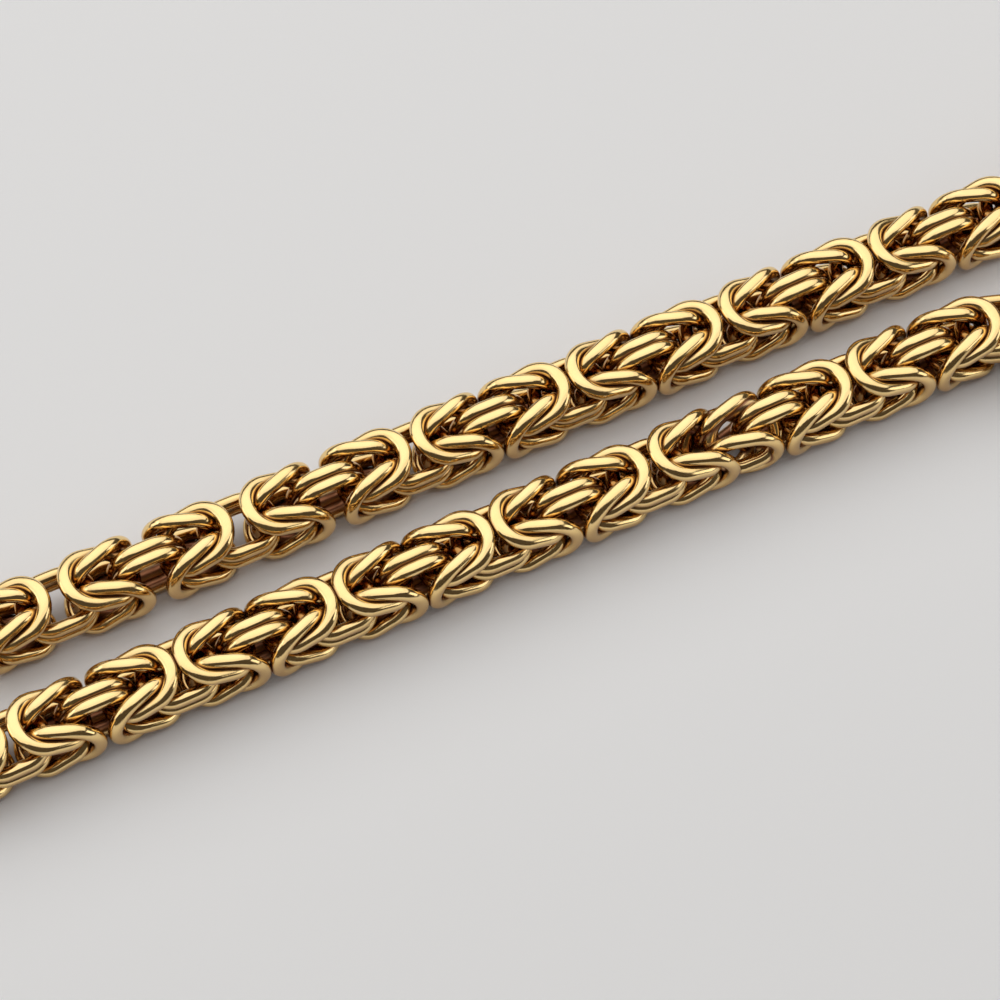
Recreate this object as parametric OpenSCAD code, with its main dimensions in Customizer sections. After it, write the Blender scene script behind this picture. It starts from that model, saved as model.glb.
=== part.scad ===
// Byzantine necklace chain, lying on a flat surface as one loop of its real length, in mm.
// A knot has two pairs of links. One pair hangs on the connector pair before the knot, and the
// other pair hangs on the connector pair after it and is folded back. Both are spread by the next
// connector's end. Each step along the chain is turned a quarter about the chain.

/* [Link] */
// thickness of the round wire
wire = 1.45; // [1.2:0.05:1.9]
// clear space between wires that touch in the real chain
gap = 0.1; // [0.1:0.01:0.2]
// inside length of a link over the thickness of its wire
long_aspect = 4.29; // [4.25:0.01:4.4]
// inside width of a link over the thickness of its wire
wide_aspect = 3.26; // [3.24:0.01:3.3]

/* [Weave] */
// slant of the links in a knot, degrees
knot_slant = 20.3; // [19.9:0.1:20.8]

/* [Clasp] */
// length of the box
clasp_len = 21; // [16:0.5:30]
// width of the box
clasp_wide = 9; // [7:0.5:12]
// radius of the box's upright corners
clasp_round = 2; // [0.5:0.1:3]
// thickness of the two lugs that the chain hangs on
lug_thick = 2; // [1.6:0.1:2.4]
// wall of a lug round its hole
lug_wall = 1.4; // [1.2:0.1:1.6]

/* [Hidden] */
// size of the weave
fit = wire + gap;
half_len = fit * (long_aspect + 1) / 2;
half_wide = fit * (wide_aspect + 1) / 2;
straight = half_len - half_wide;
slack = 0.016 * fit;
// half the distance between the two links of a connector
pair_side = fit / 2 + slack;
// how far a slanted link stands from the chain's axis, and how far it slides past the knot's middle
knot_side = half_len * sin(knot_slant) + fit / 2 + slack / 2;
knot_slide = 0.194 * fit;
// closest and longest step from one connector to the next
step_close = 2 * (knot_slide + half_len * cos(knot_slant)) + fit + slack / 2;
step_long = 2 * (half_len * (1 + cos(knot_slant)) - knot_slide - 1.29 * fit);
// thickness of the chain over its slanted links
chain_thick = 2 * (half_len * sin(knot_slant) + knot_side) + wire;

// route of the chain: each step's length, from the closest at 0 to the longest at 1
far_run = [1, 1, 1, 1, 0.82, 0.06, 0.26, 0.03, 0.26, 0.25, 0.16, 0.17, 0.55];
bend = [1, 1, 1, 1, 1, 1, 1, 1, 1, 1, 1, 1, 1, 1];
near_run = [0.26, 0.13, 0.18, 0.5, 0.2, 0.1, 0, 0, 0, 0, 0, 0.57, 0];
steps = concat(far_run, bend, near_run);
// turn of the chain at every second connector of the bend, degrees
bend_turns = [6, -15, -53.5, -55, -55, -53.5, 6.2, 40];
// share of the steps, from the first, that is in the first half of the chain
half_at = floor(len(steps) / 2);
// one step of the near run holds two knots with no connector between them. It is seen from the
// connector after it, looking back. All lengths are shares of fit
odd_at = len(far_run) + len(bend) + 3;
odd_len = 10.6;
odd_start = 3.45;
// columns: place along the chain, place aside, slant in degrees, 1 where the pair is spread
// upright and 0 where it is spread sideways
odd_rows = [
    [0.194, 1.426, 20.3, 0],
    [-0.194, 1.426, -20.3, 1],
    [3.42, 1.43, 20.3, 0]
];

function pitch(i) = i == odd_at ? odd_len * fit : step_close + steps[i] * (step_long - step_close);
function bend_at(i) = (i - len(far_run)) / 2;
function in_bend(i) = bend_at(i) >= 0 && bend_at(i) < len(bend_turns) && bend_at(i) == floor(bend_at(i));
function turn(i) = in_bend(i) ? bend_turns[bend_at(i)] : 0;
function way(h) = [cos(h), sin(h), 0];

// connectors along the route: x, y, heading. A connector turns half at each of its two end arcs
function hop(p, i) =
    let (mid = p[2] + turn(i) / 2, next = mid + turn(i + 1) / 2,
         at = [p[0], p[1], 0] + straight * way(p[2]) + (pitch(i) - 2 * straight) * way(mid)
              + straight * way(next))
    [at[0], at[1], next];
function route(i) = i == 0 ? [[0, 0, 0]] : let (r = route(i - 1)) concat(r, [hop(r[i - 1], i - 1)]);
posts = route(len(steps));

// a link is [centre, way of its length, way of its width]
function post(i) = [posts[i][0], posts[i][1], 0];
function flat(i) = i % 2 == 1;
up = [0, 0, 1];
function wide_way(h, is_flat) = is_flat ? way(h + 90) : up;
function connector(i) =
    let (h = posts[i][2])
    [for (k = [-1, 1]) [post(i) + k * pair_side * wide_way(h, !flat(i)), way(h), wide_way(h, flat(i))]];

// two links slanted apart from the middle of a knot, with their far ends spread
function slanted(mid, ahead, side, width, slide) =
    [for (k = [-1, 1]) [mid + slide * ahead + k * knot_side * side,
                        cos(knot_slant) * ahead + k * sin(knot_slant) * side, width]];
function knot(i) =
    let (h = posts[i][2] + turn(i) / 2,
         mid = post(i) + straight * way(posts[i][2]) + (pitch(i) / 2 - straight) * way(h),
         width = wide_way(h, flat(i)), side = wide_way(h, !flat(i)))
    concat(slanted(mid, way(h), width, side, knot_slide), slanted(mid, -way(h), side, width, knot_slide));

// links of the odd step. A row's link lies in the plane that its aside way leaves free
function odd_knots(i) =
    let (ahead = -way(posts[i][2]), start = post(i + 1) + odd_start * fit * ahead)
    [for (row = odd_rows, k = [-1, 1])
        let (side = row[3] == 1 ? up : way(posts[i][2] + 90), width = row[3] == 1 ? way(posts[i][2] + 90) : up)
        [start + fit * (row[0] * ahead + k * row[1] * side),
         cos(row[2]) * ahead + k * sin(row[2]) * side, width]];

// links of the steps from one post up to another, with that last post's own connector if asked
function stretch(from, to, last) =
    [for (i = [from:to - 1]) each concat(connector(i), i == odd_at ? odd_knots(i) : knot(i)),
     each last ? connector(to) : []];
chain_far_links = stretch(0, half_at, false);
chain_near_links = stretch(half_at, len(steps), true);

// clasp: a box beside the line between the two ends of the chain, with a flat lug for each end
lug_hole = 2 * (pair_side + fit / 2) + 4 * gap;
lug_r = lug_hole / 2 + lug_wall;
end_a = post(0) - half_len * way(posts[0][2]);
end_b = post(len(steps)) + half_len * way(posts[len(steps)][2]);
clasp_span = norm(end_b - end_a);
clasp_turn = atan2(end_b[1] - end_a[1], end_b[0] - end_a[0]);
clasp_mid = (end_a + end_b) / 2;
// clear space between the box and the line through the chain's two ends
clasp_off = 2 * wire;

// lowest and highest reach of all links and of the clasp along an axis, for the origin
all_links = concat(chain_far_links, chain_near_links);
function reach(link, axis) =
    straight * abs(link[1][axis]) + half_wide * norm([link[1][axis], link[2][axis]]) + wire / 2;
box_mid = clasp_mid + (clasp_off + clasp_wide / 2) * way(clasp_turn - 90);
function box_reach(a) =
    (clasp_len / 2 - clasp_round) * abs(way(clasp_turn)[a])
    + (clasp_wide / 2 - clasp_round) * abs(way(clasp_turn)[1 - a]) + clasp_round;
low = [for (a = [0, 1]) min(concat([for (k = all_links) k[0][a] - reach(k, a)],
                                   [box_mid[a] - box_reach(a)]))];
high = [for (a = [0, 1]) max(concat([for (k = all_links) k[0][a] + reach(k, a)],
                                    [box_mid[a] + box_reach(a)]))];
origin = [(low[0] + high[0]) / 2, (low[1] + high[1]) / 2, -chain_thick / 2];

brass = [0.86, 0.66, 0.3];
wire_sides = 24;
arc_sides = 48;

// one soldered link: two half rings and two straight bars
module link() {
    for (k = [0, 1]) {
        rotate(180 * k) {
            translate([straight, 0, 0])
                rotate(-90)
                    rotate_extrude(angle = 180, $fn = arc_sides)
                        translate([half_wide, 0])
                            circle(d = wire, $fn = wire_sides);
            translate([-straight, half_wide, 0])
                rotate([0, 90, 0])
                    cylinder(h = 2 * straight, d = wire, $fn = wire_sides);
        }
    }
}

module links(list) {
    for (k = list) {
        up_way = cross(k[1], k[2]);
        multmatrix([for (a = [0:2]) [k[1][a], k[2][a], up_way[a], k[0][a] - origin[a]]])
            link();
    }
}

module chain_far() {
    color(brass) links(chain_far_links);
}

module chain_near() {
    color(brass) links(chain_near_links);
}

module lug(side) {
    translate([side * clasp_span / 2, 0, -lug_thick / 2]) {
        difference() {
            union() {
                cylinder(h = lug_thick, r = lug_r, $fn = arc_sides);
                translate([-lug_r, -clasp_off - clasp_wide / 2, 0])
                    cube([2 * lug_r, clasp_off + clasp_wide / 2, lug_thick]);
            }
            translate([0, 0, -lug_thick / 2])
                cylinder(h = 2 * lug_thick, d = lug_hole, $fn = arc_sides);
        }
    }
}

// box with upright corners rounded
module clasp_box() {
    long = clasp_len - 2 * clasp_round;
    wide = clasp_wide - 2 * clasp_round;
    translate([-long / 2, -clasp_wide / 2, 0])
        cube([long, clasp_wide, chain_thick]);
    translate([-clasp_len / 2, -wide / 2, 0])
        cube([clasp_len, wide, chain_thick]);
    for (k = [-1, 1], m = [-1, 1]) {
        translate([k * long / 2, m * wide / 2, 0])
            cylinder(h = chain_thick, r = clasp_round, $fn = arc_sides);
    }
}

module clasp() {
    color(brass) {
        translate(clasp_mid - origin) {
            rotate(clasp_turn) {
                union() {
                    translate([0, -clasp_off - clasp_wide / 2, -chain_thick / 2])
                        clasp_box();
                    lug(-1);
                    lug(1);
                }
            }
        }
    }
}

chain_far();
chain_near();
clasp();
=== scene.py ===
import bpy
import numpy as np
from mathutils import Matrix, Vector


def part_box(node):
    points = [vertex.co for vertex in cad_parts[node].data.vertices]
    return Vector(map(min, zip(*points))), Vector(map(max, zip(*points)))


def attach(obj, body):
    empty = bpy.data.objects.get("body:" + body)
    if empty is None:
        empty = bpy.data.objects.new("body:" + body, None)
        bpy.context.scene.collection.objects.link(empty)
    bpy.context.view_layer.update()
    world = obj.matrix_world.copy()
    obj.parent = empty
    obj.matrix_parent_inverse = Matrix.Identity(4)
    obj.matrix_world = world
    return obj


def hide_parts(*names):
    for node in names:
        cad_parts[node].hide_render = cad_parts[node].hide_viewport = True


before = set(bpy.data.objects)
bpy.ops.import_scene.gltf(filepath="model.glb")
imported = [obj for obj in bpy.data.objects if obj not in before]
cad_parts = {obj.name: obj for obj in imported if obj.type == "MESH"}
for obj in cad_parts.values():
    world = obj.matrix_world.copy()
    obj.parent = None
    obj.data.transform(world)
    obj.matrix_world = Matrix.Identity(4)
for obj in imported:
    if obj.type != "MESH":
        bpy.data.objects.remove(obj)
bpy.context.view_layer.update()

# How the chain lies. It was laid down as one long loop, two straight runs and a bend. Connectors
# stand along it one step apart, by turns flat and on edge, and each step's length is where the
# links happened to slide. Lengths are in millimetres.
gap = 0.1
# the thickness of the solids' wire with the gap round it
fit = 1.55
half_len = 5.29 * fit / 2
half_wide = 4.26 * fit / 2
straight = half_len - half_wide
knot_slant = np.radians(20.3)
slack = 0.016 * fit
pair_side = fit / 2 + slack
knot_side = half_len * np.sin(knot_slant) + fit / 2 + slack / 2
knot_slide = 0.194 * fit
taut_overlap = 1.29 * fit
step_close = 2 * (knot_slide + half_len * np.cos(knot_slant)) + fit + slack / 2
step_long = 2 * (half_len * (1 + np.cos(knot_slant)) - knot_slide - taut_overlap)
far_run = [1, 1, 1, 1, 0.82, 0.06, 0.26, 0.03, 0.26, 0.25, 0.16, 0.17, 0.55]
bend = [1] * 14
near_run = [0.26, 0.13, 0.18, 0.5, 0.2, 0.1, 0, 0, 0, 0, 0, 0.57, 0]
bend_turns = [6, -15, -53.5, -55, -55, -53.5, 6.2, 40]
odd_step = len(far_run) + len(bend) + 3
odd_len = 10.6 * fit
odd_start = 3.45 * fit

steps = step_close + np.array(far_run + bend + near_run) * (step_long - step_close)
steps[odd_step] = odd_len
turns = np.zeros(len(steps) + 1)
turns[len(far_run):len(far_run) + 2 * len(bend_turns):2] = np.radians(bend_turns)
side_heading = np.cumsum(turns)
post_heading = side_heading - turns / 2


def way(heading):
    """Unit vectors in the floor at these headings: (cos, sin, 0)."""
    heading = np.asarray(heading, float)
    return np.stack([np.cos(heading), np.sin(heading), 0 * heading], -1)


# a post is a connector's middle, a mid is the middle of the knot after it
hop = (straight * (way(post_heading[:-1]) + way(post_heading[1:]))
       + (steps - 2 * straight)[:, None] * way(side_heading[:-1]))
posts = np.concatenate([np.zeros((1, 3)), np.cumsum(hop, 0)])
mids = (posts[:-1] + straight * way(post_heading[:-1])
        + (steps / 2 - straight)[:, None] * way(side_heading[:-1]))


# Links. Each is one ring of round wire, soldered shut and pressed to an oval with two straight
# bars. They go in pairs: a connector's two lie side by side, and a knot's four are slanted, two
# hanging on the connector before and two, folded back, on the connector after.
up = np.array([0.0, 0.0, 1.0])
# the odd spot has four pairs: two as in any knot, a third laid straighter and a slipped fourth
odd_side = 1.426 * fit
third_slide, third_side, third_slant = 4 * fit, 1.47 * fit, np.radians(15)
slipped_slide, slipped_side = 3.6 * fit, 0.56 * fit
slipped_tip, slipped_lean = np.array([0, -0.6, 0.8]), 1.6
rows = []


def add_pair(step, mid, ahead, side, width, slide, aside, slant, end_flat):
    """Two links mirrored about the chain's axis: centre = mid + slide ahead, aside to each side,
    length = ahead turned by the slant towards that side."""
    for k in (-1, 1):
        rows.append((step, mid, mid + slide * ahead + k * aside * side,
                     np.cos(slant) * ahead + k * np.sin(slant) * side, width, k * side, end_flat))


def ways_across(heading, step):
    """The two ways across the chain here: the connector's links are broad in the first and lie side
    by side along the second. Every other connector lies flat."""
    across = way(heading + np.pi / 2)
    return (across, up) if step % 2 == 1 else (up, across)


for i in range(len(posts)):
    wide, deep = ways_across(post_heading[i], i)
    add_pair(i, posts[i], way(post_heading[i]), deep, wide, 0, pair_side, 0, False)
    if i == len(steps):
        break
    ahead = way(side_heading[i])
    wide, deep = ways_across(side_heading[i], i)
    if i != odd_step:
        add_pair(i, mids[i], ahead, wide, deep, knot_slide, knot_side, knot_slant, True)
        add_pair(i, mids[i], -ahead, deep, wide, knot_slide, knot_side, knot_slant, True)
        continue
    # two knots follow each other here with no connector between, and the last folded pair has
    # slipped low between the others
    back = -ahead
    start = posts[i + 1] + odd_start * back
    add_pair(i, start, back, deep, wide, knot_slide, odd_side, knot_slant, True)
    add_pair(i, start, ahead, wide, deep, knot_slide, odd_side, knot_slant, True)
    add_pair(i, start, back, deep, wide, third_slide, third_side, third_slant, True)
    slipped = slice(len(rows), len(rows) + 2)
    add_pair(i, start, back, slipped_tip + slipped_lean * back, np.cross(back, slipped_tip),
             slipped_slide, slipped_side, 0, False)

step_of, mid, centre, along, width, spread, end_flat = (np.array(column) for column in zip(*rows))
normal = np.cross(along, width)
hand = np.sign((normal * spread).sum(1))
normal *= hand[:, None]

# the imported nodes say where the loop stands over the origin
reach = straight * np.abs(along) + half_wide * np.hypot(along, width) + (fit - gap) / 2
far_links = step_of < len(steps) // 2
far_low = np.array(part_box("chain_far")[0]) * 1000
place = far_low - (centre - reach)[far_links].min(0)


# The wire of a link. It is round where nothing touched it and ground nearly flat where the
# finished chain was run over a wheel on its four sides: broadly on the spread ends of the knots,
# more narrowly along the straight bars. No two links hang quite alike.
wire_r = 0.86
end_height = 4.24
bar_height = 4.02
ground_share = 0.76
flat_edge = 0.045
arc_cuts = 30
bar_cuts = 3
sides = 28
loose = 0.012
hang = np.random.default_rng(5).normal(0, loose, (len(rows), 3))


def oval_path():
    """Places (x, y) and outward ways round the oval: a half circle, a bar, a half circle, a bar."""
    angle = np.linspace(-np.pi / 2, np.pi / 2, arc_cuts + 1)
    out = np.stack([np.cos(angle), np.sin(angle)], 1)
    arc = half_wide * out + [straight, 0]
    t = np.linspace(1, -1, bar_cuts + 1)[1:-1]
    bar = np.stack([t * straight, 0 * t + half_wide], 1)
    bar_out = np.stack([0 * t, 0 * t + 1], 1)
    return np.concatenate([arc, bar, -arc, -bar]), np.concatenate([out, bar_out, -out, -bar_out])


oval, oval_out = oval_path()
round_wire = np.linspace(0, 2 * np.pi, sides + 1)[:-1]
paths = centre[:, None] + oval[:, :1] * along[:, None] + oval[:, 1:] * width[:, None]


def round_skin(pick):
    """Points on the round wire of these links, from the middle of their step, and the upward part
    of the skin's facing: path + wire_r (cos f outward + sin f normal), f round the wire."""
    length_way, width_way, normal_way = (
        v[pick][:, None] + np.cross(hang[pick], v[pick])[:, None] for v in (along, width, normal))
    path = (centre - mid)[pick][:, None] + oval[:, :1] * length_way + oval[:, 1:] * width_way
    outward = oval_out[:, :1] * length_way + oval_out[:, 1:] * width_way
    cos, sin = np.cos(round_wire)[:, None], np.sin(round_wire)[:, None]
    facing = cos * outward[:, :, None] + sin * normal_way[:, :, None]
    return path[:, :, None] + wire_r * facing, facing[..., 2]


def ground_off(over):
    """How much the wheel takes where the wire stood this much too high: ground_share x flat_edge x
    log(1 + e^(over / flat_edge)), which is nothing below the limit and nearly all above it."""
    return ground_share * flat_edge * np.logaddexp(0, over / flat_edge)


def ring_quads(count, hand_of):
    """Quads over this many links' grids of points, closed round the oval and round the wire. A
    mirrored link's quads run the other way, so that its faces point outwards too."""
    index = np.arange(count * len(oval) * sides).reshape(count, len(oval), sides)
    ring = np.roll(index, -1, 1)
    quads = np.stack([index, ring, np.roll(ring, -1, 2), np.roll(index, -1, 2)], -1)
    return np.where(hand_of[:, None, None, None] > 0, quads, quads[..., ::-1]).reshape(-1, 4)


# Painted shade on the wire, as values from 0 to 1 at each point. Painted shade darkens the inside of the
# weave, the wire's downward-facing flanks and underside a little, the rings' inner sides, and, with some
# soil, the crevices where wires touch.
# The wire was drawn through a plate, which left faint lines along it.
half_thick = 4
slipped_shade = 0.45
least_shade, flank_shade, lit_facing = 0.14, 0.32, 0.55
inner_shade, inner_fade = 1.05, 3
crevice_reach = 0.62
lines_apart = 7.3


def shade_by_depth(pick, high, beside, facing_up):
    """Painted shade by depth: 1 - the larger of the two heights off the axis / half_thick, and at least
    least_shade + flank_shade x how far the skin faces down from lit_facing."""
    extra = np.zeros(len(rows))
    # the slipped pair lies low, so it gets extra painted shade
    extra[slipped] = slipped_shade
    depth = 1 - np.maximum(np.abs(high), np.abs(beside)) / half_thick + extra[pick][:, None, None]
    return np.maximum(depth, least_shade + flank_shade * np.clip(lit_facing - facing_up, 0, 1))


def inner_side(low):
    """Painted shade on the inner side of each ring, growing with how low the point lies under the axis."""
    return np.minimum(inner_shade * np.clip(-np.cos(round_wire), 0, 1) * np.clip(low / inner_fade, 0, 1), 1)


def crevice(skin_points, wires_near):
    """How far each point sits in a crevice, which takes painted shade and some soil: 1 where another wire
    touches it, 0 where the nearest is over crevice_reach away. Squared distances are |p|^2 + |w|^2 - 2 p.w."""
    apart = (skin_points ** 2).sum(1)[:, None] + (wires_near ** 2).sum(1) - 2 * skin_points @ wires_near.T
    return np.clip(1 - (np.sqrt(np.maximum(apart.min(1), 0)) - wire_r) / crevice_reach, 0, 1)


def drawn_lines(count):
    """Where each point lies on its wire, for noise that runs along it: (cos f, sin f, own place)."""
    turned = np.stack([np.cos(round_wire), np.sin(round_wire)], -1) + np.zeros((count, len(oval), 1, 1))
    own = np.arange(count)[:, None, None, None] * lines_apart + np.zeros(turned.shape[:3] + (1,))
    return np.concatenate([turned, own], 3).reshape(-1, 3)


def link_mesh(pick):
    """Vertices, faces, depth, crevice and drawn lines of these links: the round skin, lowered by
    what was ground off towards each link's spread side and off its two bars."""
    skin, facing_up = round_skin(pick)
    spread_way, width_way = spread[pick][:, None, None], width[pick][:, None, None]
    high, beside = (skin * spread_way).sum(3), (skin * width_way).sum(3)
    # depth holds painted shade deep in the weave and on downward flanks; tight holds painted shade on inner
    # sides and, with some soil, in crevices
    depth = shade_by_depth(pick, high, beside, facing_up)
    tight = inner_side(-skin[..., 2])
    end_cut = end_flat[pick][:, None, None] * ground_off(high - end_height)
    bar_cut = np.sign(beside) * ground_off(np.abs(beside) - bar_height)
    skin = skin - end_cut[..., None] * spread_way - bar_cut[..., None] * width_way
    # painted shade, with some soil, where other wires come close
    for row, link in enumerate(np.flatnonzero(pick)):
        near = (np.abs(step_of - step_of[link]) <= 1) & (np.arange(len(rows)) != link)
        touched = crevice(skin[row].reshape(-1, 3), paths[near].reshape(-1, 3) - mid[link])
        tight[row] = np.maximum(tight[row], touched.reshape(tight[row].shape))
    points = (skin + (mid[pick] + place)[:, None, None]).reshape(-1, 3)
    quads = ring_quads(pick.sum(), hand[pick])
    return points, quads, np.clip(depth, 0, 1).ravel(), tight.ravel(), drawn_lines(pick.sum())


def put_mesh(name, points, quads, depth, tight, drawn):
    """A smooth mesh object of these quads that carries depth, crevice and place on the wire."""
    mesh = bpy.data.meshes.new(name)
    mesh.vertices.add(len(points))
    mesh.vertices.foreach_set("co", (points / 1000).ravel())
    mesh.loops.add(quads.size)
    mesh.loops.foreach_set("vertex_index", quads.ravel().astype(np.int32))
    mesh.polygons.add(len(quads))
    mesh.polygons.foreach_set("loop_start", np.arange(len(quads), dtype=np.int32) * 4)
    mesh.update(calc_edges=True)
    mesh.validate()
    mesh.attributes.new("depth", "FLOAT", "POINT").data.foreach_set("value", depth)
    mesh.attributes.new("crevice", "FLOAT", "POINT").data.foreach_set("value", tight)
    mesh.attributes.new("drawn", "FLOAT_VECTOR", "POINT").data.foreach_set("vector", drawn.ravel())
    obj = bpy.data.objects.new(name, mesh)
    bpy.context.scene.collection.objects.link(obj)
    return obj


# Gold of the chain: yellow gold over the whole link, polished bright, with the faint haze of a
# chain that has been worn, fine drawing lines, painted shade deep down and on downward flanks, and dark brown
# painted shade, with some soil, in crevices and on the rings' inner sides.
haze_scale, line_scale, line_depth = 420, 11, 0.00004
bright, warm = (1.0, 0.745, 0.365, 1), (0.98, 0.69, 0.285, 1)
# painted shade: the first colour deep in the weave and on downward flanks, the second, with some soil, in
# crevices and on inner sides
shaded_gold, shade_and_soil = (0.42, 0.19, 0.045, 1), (0.19, 0.058, 0.04, 1)
shade_and_soil_rough = 0.3

gold = bpy.data.materials.new("polished_gold")
gold.use_nodes = True
nodes, joins = gold.node_tree.nodes, gold.node_tree.links
metal = nodes["Principled BSDF"]
metal.inputs["Metallic"].default_value = 1


def add_node(kind, **given):
    """A node of the gold. Each given input is a value or another node's socket."""
    node = nodes.new(kind)
    for name, value in given.items():
        socket = node.inputs[name.replace("_", " ")]
        if isinstance(value, bpy.types.NodeSocket):
            joins.new(value, socket)
        else:
            socket.default_value = value
    return node


def on_skin(name):
    """A node that reads what the mesh carries under this name."""
    node = nodes.new("ShaderNodeAttribute")
    node.attribute_name = name
    return node


def ranged(value, low, high, least, most):
    """A Map Range node that makes low to high into least to most."""
    return add_node("ShaderNodeMapRange", Value=value, From_Min=low, From_Max=high, To_Min=least, To_Max=most)


place_on = nodes.new("ShaderNodeTexCoord").outputs["Object"]
haze = add_node("ShaderNodeTexNoise", Vector=place_on, Scale=haze_scale, Detail=4).outputs["Fac"]
tone = add_node("ShaderNodeMixRGB", Fac=haze, Color1=bright, Color2=warm)
# painted shade deep in the weave and on the downward-facing flanks
depth_shaded = ranged(on_skin("depth").outputs["Fac"], low=least_shade, high=0.46, least=0, most=0.88)
tone = add_node("ShaderNodeMixRGB", Fac=depth_shaded.outputs["Result"], Color1=tone.outputs["Color"], Color2=shaded_gold)
# painted shade, with some soil, in crevices and on the rings' inner sides
crevice_shaded = ranged(on_skin("crevice").outputs["Fac"], low=0.22, high=1, least=0, most=0.9)
crevice_shaded.interpolation_type = "SMOOTHSTEP"
tone = add_node("ShaderNodeMixRGB", Fac=crevice_shaded.outputs["Result"], Color1=tone.outputs["Color"], Color2=shade_and_soil)
joins.new(tone.outputs["Color"], metal.inputs["Base Color"])
# roughness is the crevice and inner-side mask x shade_and_soil_rough + that of the haze
hazed = ranged(haze, low=0.35, high=0.7, least=0.09, most=0.2)
rough = nodes.new("ShaderNodeMath")
rough.operation = "MULTIPLY_ADD"
joins.new(crevice_shaded.outputs["Result"], rough.inputs[0])
rough.inputs[1].default_value = shade_and_soil_rough
joins.new(hazed.outputs["Result"], rough.inputs[2])
joins.new(rough.outputs["Value"], metal.inputs["Roughness"])
lines = add_node("ShaderNodeTexNoise", Vector=on_skin("drawn").outputs["Vector"], Scale=line_scale, Detail=3)
relief = add_node("ShaderNodeBump", Strength=0.2, Distance=line_depth, Height=lines.outputs["Fac"])
joins.new(relief.outputs["Normal"], metal.inputs["Normal"])


# Chain. Its two packed halves are shown as three stretches of gold links each, woven into one
# another and held by nothing else. A stretch takes whole steps, from its first up to the next
# stretch's first.
stretches = [
    ("far_run_links", 0, 7, "chain_far"), ("far_run_middle_links", 7, 13, "chain_far"),
    ("bend_far_links", 13, 20, "chain_far"), ("bend_near_links", 20, 26, "chain_near"),
    ("near_run_middle_links", 26, 34, "chain_near"), ("near_run_links", 34, 41, "chain_near")]
for name, first, past, node in stretches:
    piece = put_mesh(name, *link_mesh((step_of >= first) & (step_of < past)))
    piece.data.materials.append(gold)
    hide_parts(node)
    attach(piece, "root")


# Clasp. It is out of the picture, so it is one plain box of the chain's gold with softly rounded
# edges and a crowned lid, and two flat eyes soldered to its side, which hold the chain's ends.
clasp_len, clasp_wide, clasp_round = 21, 9, 2
clasp_off = 2.9
box_edge = 0.7
lid_crown = 0.45
eye_thick = 2
eye_edge = 0.45
eye_wall = 1.4
tongue_square = 1.6
edge_cuts, corner_cuts, lid_rings, eye_sides = 6, 8, 10, 56
hole_r = pair_side + fit / 2 + 2 * gap
eye_r = hole_r + eye_wall
chain_thick = 1000 * (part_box("clasp")[1][2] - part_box("clasp")[0][2])
end_a = posts[0] - half_len * way(post_heading[0])
end_b = posts[-1] + half_len * way(post_heading[-1])
span = np.linalg.norm(end_b - end_a)
clasp_x = (end_b - end_a) / span
axes = np.stack([clasp_x, np.cross(up, clasp_x), up])
quarter = np.linspace(0, np.pi / 2, edge_cuts + 1)


def shell(rings, closed):
    """Quads over rings of points. A closed shell joins its last ring to its first, an open one is
    capped at both ends by quads laid across from side to side."""
    m, n = rings.shape[:2]
    index = np.arange(m * n).reshape(m, n)
    there, past = (index, np.roll(index, -1, 0)) if closed else (index[:-1], index[1:])
    quads = np.stack([there, np.roll(there, -1, 1), np.roll(past, -1, 1), past], -1).reshape(-1, 4)
    if closed:
        return quads
    i = np.arange(n // 2 - 1)
    cap = np.stack([i, i + 1, n - 2 - i, n - 1 - i], 1)
    return np.concatenate([quads, cap[:, ::-1], cap + (m - 1) * n])


def rounded_edge(thick, radius):
    """Insets and heights up a plate's rim, rounded at both edges by a quarter circle."""
    inset = radius * (1 - np.cos(quarter))
    high = thick / 2 - radius * (1 - np.sin(quarter))
    return np.concatenate([inset[::-1], inset]), np.concatenate([-high[::-1], high])


def circle(angle):
    """Points of the unit circle: (cos, sin)."""
    return np.stack([np.cos(angle), np.sin(angle)], 1)


def raised(outlines, heights):
    """Flat outlines, each lifted to its height, as rings of points."""
    return np.concatenate([outlines, heights[:, None, None] + 0 * outlines[..., :1]], 2)


# the box's outline: a quarter circle about each corner's own centre
corner_start = np.arange(4)[:, None] * np.pi / 2
corner_turn = corner_start + np.linspace(0, np.pi / 2, corner_cuts + 1)
corner_way = np.sign(circle((corner_start + np.pi / 4 + 0 * corner_turn).ravel()))
corner = corner_way * [clasp_len / 2 - clasp_round, clasp_wide / 2 - clasp_round]
inset, high = rounded_edge(chain_thick, box_edge)
flat = corner + (clasp_round - inset)[:, None, None] * circle(corner_turn.ravel())
# the lid is crowned: past the rim each ring is smaller and stands higher
shrink = np.linspace(0.9, 0.02, lid_rings)
high[len(quarter):] -= lid_crown
high = np.concatenate([high, chain_thick / 2 - lid_crown * shrink ** 2])
flat = np.concatenate([flat, shrink[:, None, None] * flat[-1]])
box_rings = raised(flat - [0, clasp_off + clasp_wide / 2], high)

# an eye is a disc with a hole, drawn out to a tongue that runs into the box
round_hole = circle(np.linspace(0, 2 * np.pi, eye_sides + 1)[:-1])
inner = hole_r * round_hole
tongue = np.clip(tongue_square * round_hole, -1, 1) * [eye_r, clasp_off + clasp_wide / 2]
# the two points level with the hole's middle stay on the disc
just_below = -0.001
towards_box = round_hole[:, 1:] < just_below
outer = np.where(towards_box, tongue, eye_r * round_hole)
outward = (outer - inner) / np.linalg.norm(outer - inner, axis=1)[:, None]
inset, high = rounded_edge(eye_thick, eye_edge)
rim = np.concatenate([outer - inset[:, None, None] * outward, inner + inset[::-1, None, None] * outward])
eye_rings = raised(rim, np.concatenate([high, high[::-1]]))

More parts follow.
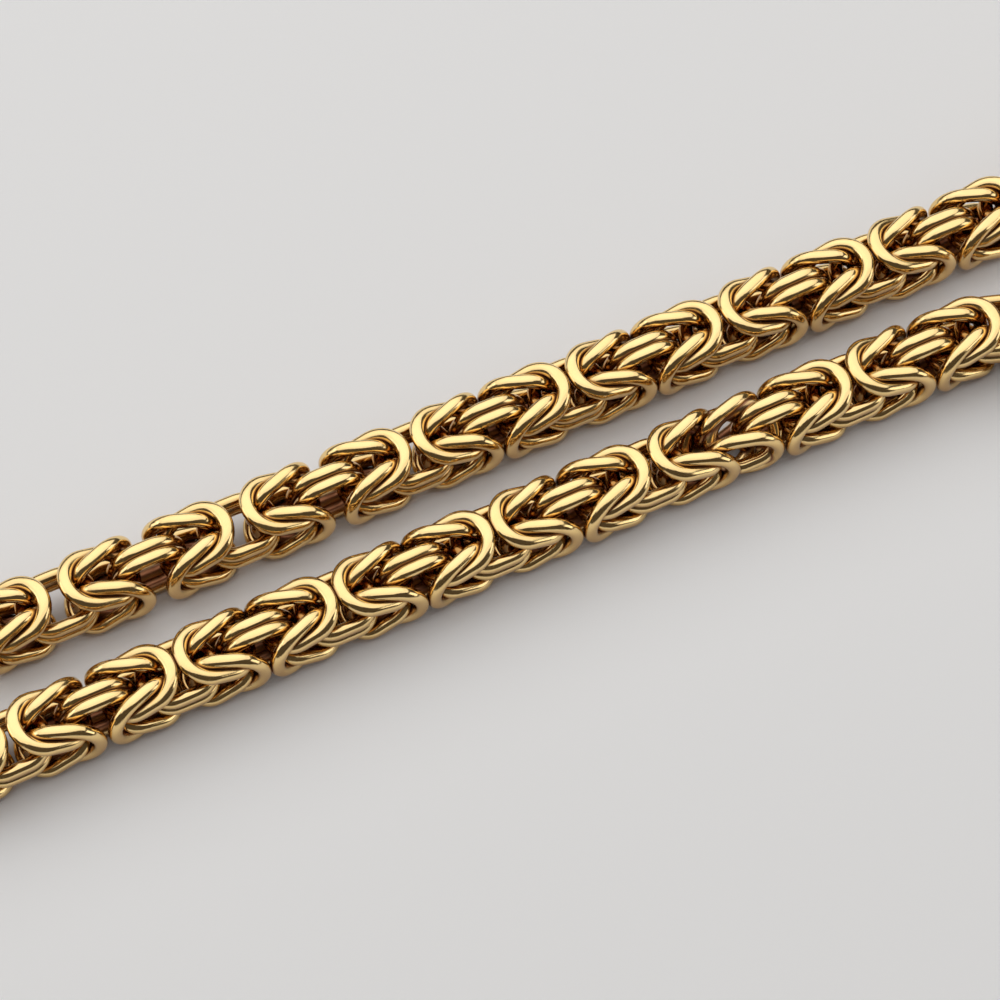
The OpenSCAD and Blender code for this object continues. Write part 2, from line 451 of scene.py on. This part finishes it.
for name, rings, closed, along_x in [("clasp_box", box_rings, False, 0),
                                     ("clasp_eye_far", eye_rings, True, -0.5),
                                     ("clasp_eye_near", eye_rings, True, 0.5)]:
    points = rings.reshape(-1, 3)
    brushed = points * [0, 1 / wire_r, 1 / wire_r]
    points = (points + [along_x * span, 0, 0]) @ axes + (end_a + end_b) / 2 + place
    # the clasp gets no painted shade
    unshaded = np.zeros(len(points))
    piece = put_mesh(name, points, shell(rings, closed), unshaded, unshaded, brushed)
    piece.data.materials.append(gold)
    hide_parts("clasp")
    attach(piece, "root")


# Floor, light and camera. The chain lies on a pale sheet under soft lamps, one wide with a
# brighter core, and is seen from above and a little in front. Lengths here are in metres, apart
# from aim_off, the place in millimetres that the camera aims at beside one connector.
half_sheet = 1.5
paper = bpy.data.materials.new("pale_paper")
paper.use_nodes = True
paper_skin = paper.node_tree.nodes["Principled BSDF"]
paper_skin.inputs["Base Color"].default_value = (0.86, 0.86, 0.86, 1)
paper_skin.inputs["Roughness"].default_value = 0.9
sheet = bpy.data.meshes.new("floor")
corners = [(x * half_sheet, y * half_sheet, 0) for x, y in ((-1, -1), (1, -1), (1, 1), (-1, 1))]
sheet.from_pydata(corners, [], [(0, 1, 2, 3)])
sheet.materials.append(paper)
floor = bpy.data.objects.new("floor", sheet)
bpy.context.scene.collection.objects.link(floor)

world = bpy.data.worlds.new("studio")
bpy.context.scene.world = world
world.use_nodes = True
dim_room = world.node_tree.nodes["Background"]
dim_room.inputs["Color"].default_value = (1, 0.84, 0.7, 1)
dim_room.inputs["Strength"].default_value = 0.07
bpy.context.scene.view_settings.view_transform = "Standard"

lean = np.radians(28.2)
run_turn = np.radians(25.5)
aim_post = 8
aim_off = [-23.35, -9.46, 0]
target = (posts[aim_post] + place + aim_off) / 1000
distance = 0.3884
right = np.array([np.cos(run_turn), -np.sin(run_turn), 0])
forward = np.array([np.sin(run_turn), np.cos(run_turn), 0])
towards_camera = np.cos(lean) * up - np.sin(lean) * forward


def look(obj, eye, at):
    """Puts obj at eye with its -Z towards at and its X level."""
    z = (eye - at) / np.linalg.norm(eye - at)
    x = np.cross(up, z)
    x /= np.linalg.norm(x)
    turn = np.eye(4)
    turn[:3, :3] = np.stack([x, np.cross(z, x), z], 1)
    turn[:3, 3] = eye
    obj.matrix_world = Matrix(turn.tolist())


camera = bpy.data.objects.new("camera", bpy.data.cameras.new("camera"))
camera.data.lens = 120
camera.data.sensor_width = 36
camera.data.clip_start = 0.01
bpy.context.scene.collection.objects.link(camera)
look(camera, target + distance * towards_camera, target)
bpy.context.scene.camera = camera


def soft_lamp(name, across, ahead, high, wide, deep, watts):
    """A rectangular lamp that many metres to the right, beyond and above the target."""
    lamp = bpy.data.lights.new(name, "AREA")
    lamp.shape = "RECTANGLE"
    lamp.size, lamp.size_y, lamp.energy = wide, deep, watts
    obj = bpy.data.objects.new(name, lamp)
    bpy.context.scene.collection.objects.link(obj)
    look(obj, target + across * right + ahead * forward + high * up, target)
    return obj


soft_lamp("wide_lamp", -0.1, 0.28, 0.68, 2.0, 1.4, 8.6)
soft_lamp("core_lamp", -0.12, 0.33, 0.62, 1.0, 0.6, 0.34)
soft_lamp("hot_lamp", -0.14, 0.36, 0.60, 0.5, 0.3, 0.05)
soft_lamp("left_lamp", -0.9, -0.05, 0.35, 0.5, 0.5, 1.0)
soft_lamp("right_lamp", 0.9, -0.05, 0.35, 0.5, 0.5, 1.0)
floor_lamp = soft_lamp("floor_lamp", 0, -0.3, 0.9, 1.2, 1.2, 1.0)
floor_lamp.visible_glossy = False
